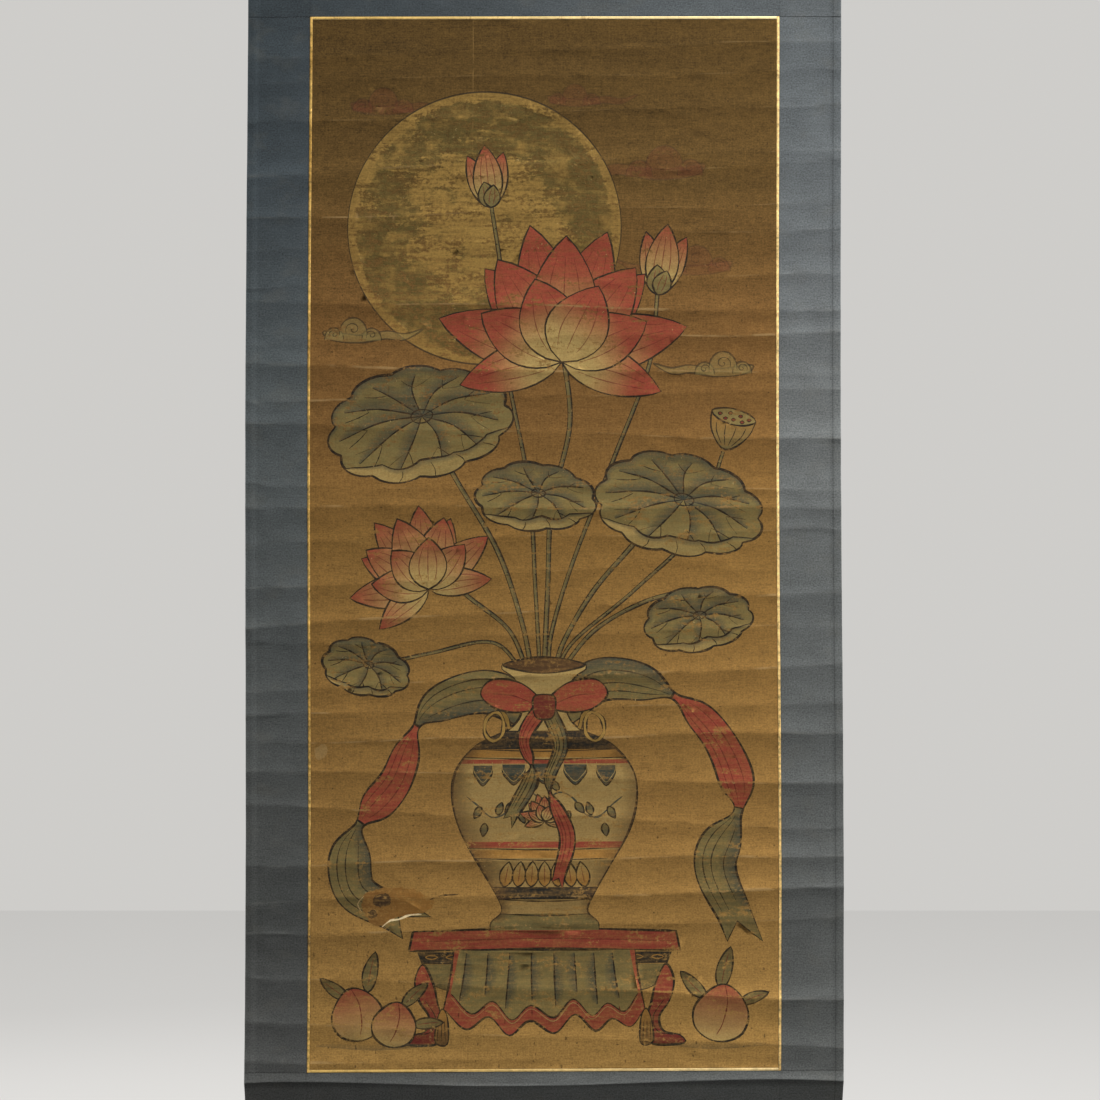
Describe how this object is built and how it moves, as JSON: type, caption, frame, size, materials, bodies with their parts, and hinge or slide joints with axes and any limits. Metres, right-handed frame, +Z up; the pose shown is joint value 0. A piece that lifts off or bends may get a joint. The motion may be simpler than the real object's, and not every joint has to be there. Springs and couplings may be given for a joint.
{
  "type": "buddhist hanging scroll",
  "caption": "Tall hung textile scroll: an aged painted picture sheet edged with thin gold strips, set in blue-grey cloth panels, cross-creased from rolling, hung by its top edge.",
  "frame": {"origin": "middle of the top edge of the scroll, where it is held", "axes": "+Z up along the scroll, -Y out of its painted front, +X to the right seen from the front"},
  "size_m": [0.5846, 0.0351, 1.483],
  "materials": {
    "painted_silk": "matt, brown with age, creased and rubbed",
    "gold_paper": "soft gold leaf on thin paper, a little rubbed",
    "mounting_cloth": "matt blue-grey plain weave, paper-backed"
  },
  "bodies": {
    "root": {"picture": "painted_silk", "gold_strip_top": "gold_paper", "gold_strip_bottom": "gold_paper", "gold_strip_left": "gold_paper", "gold_strip_right": "gold_paper", "side_panel_left": "mounting_cloth", "side_panel_right": "mounting_cloth", "top_panel": "mounting_cloth", "bottom_panel": "mounting_cloth"}
  },
  "joints": []
}
